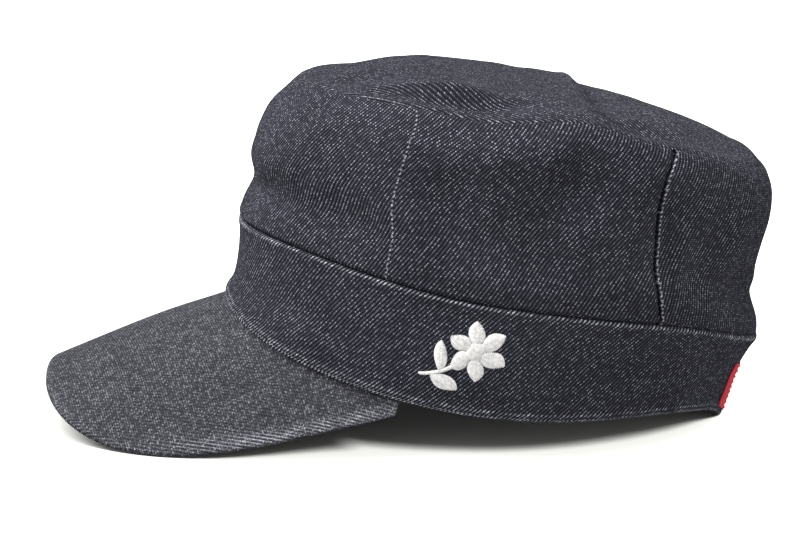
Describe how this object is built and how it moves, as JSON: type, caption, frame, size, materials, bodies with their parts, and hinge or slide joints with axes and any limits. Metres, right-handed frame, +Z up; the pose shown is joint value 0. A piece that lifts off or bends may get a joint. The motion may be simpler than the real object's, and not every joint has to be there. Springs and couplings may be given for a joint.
{
  "type": "work cap",
  "caption": "Soft denim work cap with a flat tilted top, a folded band, a curved peak, a plain red label at the back and an embroidered sprig on one side.",
  "frame": {"origin": "middle of the footprint on the surface that the cap lies on", "axes": "+X to the back of the cap and away from the peak, +Y to the wearer's right, +Z up"},
  "size_m": [0.284, 0.1762, 0.1372],
  "materials": {
    "denim": "near-black indigo raw denim twill with pale weft flecks",
    "peak_denim": "the same denim drawn over a board, finely speckled",
    "red_tape": "woven red tape, matte, without lettering",
    "white_thread": "white satin-stitch thread with a soft sheen"
  },
  "bodies": {
    "root": {"crown_front": "denim", "crown_left": "denim", "crown_back": "denim", "crown_right": "denim", "crown_top": "denim", "band": "denim", "peak": "peak_denim", "label": "red_tape", "embroidery": "white_thread"}
  },
  "joints": []
}
